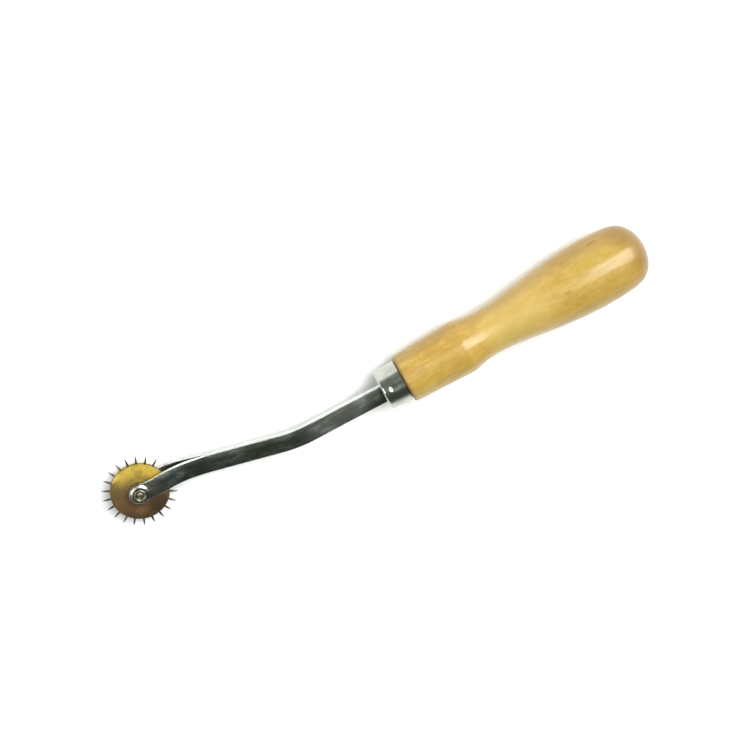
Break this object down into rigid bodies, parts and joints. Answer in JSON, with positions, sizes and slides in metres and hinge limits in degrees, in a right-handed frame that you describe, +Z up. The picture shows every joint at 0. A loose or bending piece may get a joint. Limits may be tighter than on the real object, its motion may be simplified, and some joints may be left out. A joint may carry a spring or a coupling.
{
  "type": "needle-point tracing wheel",
  "caption": "Leatherworker's pricking wheel: a brass disc ringed with steel needles spins in the fork of a cranked plated shank with a ferrule and a turned wooden handle.",
  "frame": {"origin": "on the surface the tool lies on, under the centre of its bounding box", "axes": "+X along the tool from the butt of the handle to the wheel, +Z up; the shank cranks the wheel towards -Y. The tool lies as it comes to rest, on the handle's swell, the handle's front end and the far rivet head, so the handle's axis dips 2.73 degrees towards the wheel"},
  "size_m": [0.1986, 0.0358, 0.0239],
  "materials": {
    "lacquered_wood": "clear glossy lacquer over pale hardwood",
    "ferrule_plate": "polished nickel plate",
    "shank_plate": "nickel plate over rolled strip, slightly wavy polish",
    "rivet_steel": "plated, rolled over by the setting tool",
    "washer_steel": "dull plate with oil staining",
    "disc_brass": "brushed brass, tarnished towards the rim",
    "hub_brass": "turned brass",
    "needle_steel": "hardened steel, ground to a point"
  },
  "bodies": {
    "tool_frame": {"handle": "lacquered_wood", "ferrule": "ferrule_plate", "front_arm": "shank_plate", "rear_arm": "shank_plate", "axle_rivet": "rivet_steel", "front_washer": "washer_steel", "rear_washer": "washer_steel"},
    "wheel": {"hub_bush": "hub_brass", "front_disc": "disc_brass", "rear_disc": "disc_brass", "needle_01": "needle_steel", "needle_02": "needle_steel", "needle_03": "needle_steel", "needle_04": "needle_steel", "needle_05": "needle_steel", "needle_06": "needle_steel", "needle_07": "needle_steel", "needle_08": "needle_steel", "needle_09": "needle_steel", "needle_10": "needle_steel", "needle_11": "needle_steel", "needle_12": "needle_steel", "needle_13": "needle_steel", "needle_14": "needle_steel", "needle_15": "needle_steel", "needle_16": "needle_steel", "needle_17": "needle_steel", "needle_18": "needle_steel", "needle_19": "needle_steel", "needle_20": "needle_steel", "needle_21": "needle_steel", "needle_22": "needle_steel"}
  },
  "joints": [
    {"name": "wheel_spin", "type": "hinge", "parent": "tool_frame", "child": "wheel", "pos_m": [0.08666, -0.00535, 0.0045], "axis": [0.0476, 0.0438, 0.9979], "continuous": true}
  ]
}
